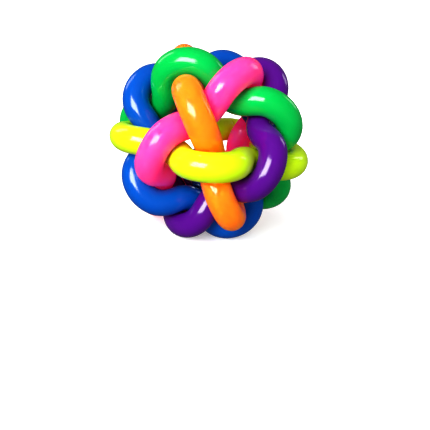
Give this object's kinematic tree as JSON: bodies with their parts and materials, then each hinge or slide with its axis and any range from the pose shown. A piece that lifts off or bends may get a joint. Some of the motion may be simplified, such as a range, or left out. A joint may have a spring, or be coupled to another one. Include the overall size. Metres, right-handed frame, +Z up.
{
  "type": "woven jingle ball puzzle toy",
  "caption": "Ball of interlocked wavy rubber rings woven over and under each other, with a round jingle bell loose inside the open cage.",
  "frame": {"origin": "centre of the ball, where the axes of all the rings meet", "axes": "+Z up along the axis of the yellow ring, through a five-sided opening; -Y towards the viewer, through a crossing of the yellow ring"},
  "size_m": [0.0876, 0.09, 0.0797],
  "materials": {
    "yellow_rubber": "smooth glossy yellow moulded rubber",
    "purple_rubber": "smooth glossy purple moulded rubber",
    "blue_rubber": "smooth glossy blue moulded rubber",
    "orange_rubber": "smooth glossy orange moulded rubber",
    "green_rubber": "smooth glossy green moulded rubber",
    "pink_rubber": "smooth glossy pink moulded rubber",
    "bell_plate": "bright plated pressed steel",
    "loop_wire": "bright plated wire",
    "pellet_steel": "dull steel ball"
  },
  "bodies": {
    "yellow_ring": {"ring_yellow": "yellow_rubber"},
    "purple_ring": {"ring_purple": "purple_rubber"},
    "blue_ring": {"ring_blue": "blue_rubber"},
    "orange_ring": {"ring_orange": "orange_rubber"},
    "green_ring": {"ring_green": "green_rubber"},
    "pink_ring": {"ring_pink": "pink_rubber"},
    "bell": {"bell_top_half": "bell_plate", "bell_bottom_half": "bell_plate", "bell_loop": "loop_wire"},
    "pellet": {"bell_pellet": "pellet_steel"}
  },
  "joints": [
    {"name": "purple_ring_slip", "type": "hinge", "parent": "yellow_ring", "child": "purple_ring", "pos_m": [0, 0, 0], "axis": [-0.7236, -0.5257, 0.4472], "range_deg": [-1, 1]},
    {"name": "blue_ring_slip", "type": "hinge", "parent": "yellow_ring", "child": "blue_ring", "pos_m": [0, 0, 0], "axis": [0.2764, -0.8507, 0.4472], "range_deg": [-1, 1]},
    {"name": "orange_ring_slip", "type": "hinge", "parent": "yellow_ring", "child": "orange_ring", "pos_m": [0, 0, 0], "axis": [0.8944, 0, 0.4472], "range_deg": [-1, 1]},
    {"name": "green_ring_slip", "type": "hinge", "parent": "yellow_ring", "child": "green_ring", "pos_m": [0, 0, 0], "axis": [0.2764, 0.8507, 0.4472], "range_deg": [-1, 1]},
    {"name": "pink_ring_slip", "type": "hinge", "parent": "yellow_ring", "child": "pink_ring", "pos_m": [0, 0, 0], "axis": [-0.7236, 0.5257, 0.4472], "range_deg": [-1, 1]},
    {"name": "bell_rise", "type": "slide", "parent": "yellow_ring", "child": "bell", "axis": [0, 0, 1], "range_m": [0, 0.026]},
    {"name": "pellet_roll", "type": "hinge", "parent": "bell", "child": "pellet", "pos_m": [0, 0, -0.0132], "axis": [0, 1, 0], "range_deg": [-110, 110]}
  ]
}
